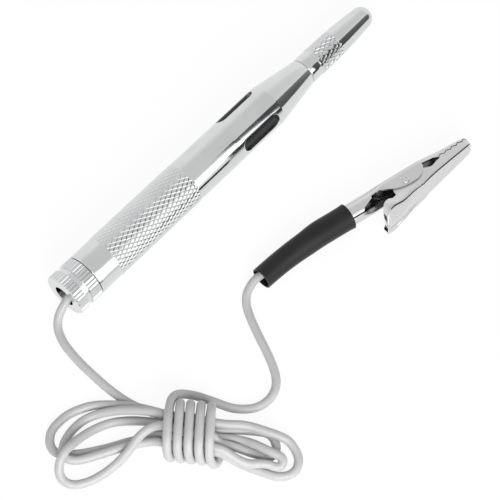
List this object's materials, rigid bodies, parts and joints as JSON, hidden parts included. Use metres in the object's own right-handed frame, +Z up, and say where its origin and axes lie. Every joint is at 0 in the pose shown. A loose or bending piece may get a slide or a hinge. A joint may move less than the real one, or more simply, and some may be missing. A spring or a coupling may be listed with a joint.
{
  "type": "test light",
  "caption": "Chromed pocket test light: a knurled pen with a lamp behind dark windows, a cap over its probe needle, and a grey lead to a sleeved crocodile clip.",
  "frame": {"origin": "floor point below the middle of the pen", "axes": "+X along the pen towards the nose, +Y away from the clip and lead, +Z up"},
  "size_m": [0.1619, 0.0856, 0.0132],
  "materials": {
    "chrome_body": "polished plating",
    "clip_plate": "bright nickel plating",
    "steel": "plain steel",
    "brass": "turned brass",
    "copper": "bare stranded copper",
    "solder": "dull solder",
    "filament": "dark drawn wire",
    "bulb_glass": "clear glass",
    "window": "smoked, glossy",
    "insulator": "moulded, matte",
    "lead": "smooth soft insulation",
    "sleeve": "soft satin sleeve"
  },
  "bodies": {
    "pen": {"barrel": "chrome_body", "probe_needle": "steel", "needle_holder": "brass", "nose_insulator": "insulator", "window_liner": "window", "bulb_glass": "bulb_glass", "bulb_front_cap": "steel", "bulb_rear_cap": "steel", "bulb_filament": "filament", "contact_cup": "brass", "contact_spring": "steel", "lead_terminal": "brass", "rear_insulator": "insulator", "lead_stop": "steel", "lead_core": "copper", "rear_lead": "lead", "lead_hank": "lead", "front_lead": "lead", "clip_core": "copper", "clip_solder": "solder", "clip_sleeve": "sleeve", "clip_upper_jaw": "clip_plate", "clip_rivet": "clip_plate", "clip_spring": "steel"},
    "cap": {"probe_cap": "chrome_body"},
    "end": {"end_cap": "chrome_body"},
    "jaw": {"clip_lower_jaw": "clip_plate"}
  },
  "joints": [
    {"name": "cap_pull", "type": "slide", "parent": "pen", "child": "cap", "axis": [1, 0, 0], "range_m": [0, 0.03]},
    {"name": "end_cap_turn", "type": "hinge", "parent": "pen", "child": "end", "pos_m": [-0.062, 0, 0.0066], "axis": [1, 0, 0], "continuous": true},
    {"name": "jaw_open", "type": "hinge", "parent": "pen", "child": "jaw", "pos_m": [0.02515, -0.0456, 0.00481], "axis": [-0.0284, -0.1185, -0.9925], "range_deg": [0, 24], "stiffness_Nm_per_rad": 0.1, "springref_deg": -45.84, "deforming": ["clip_spring"]}
  ]
}
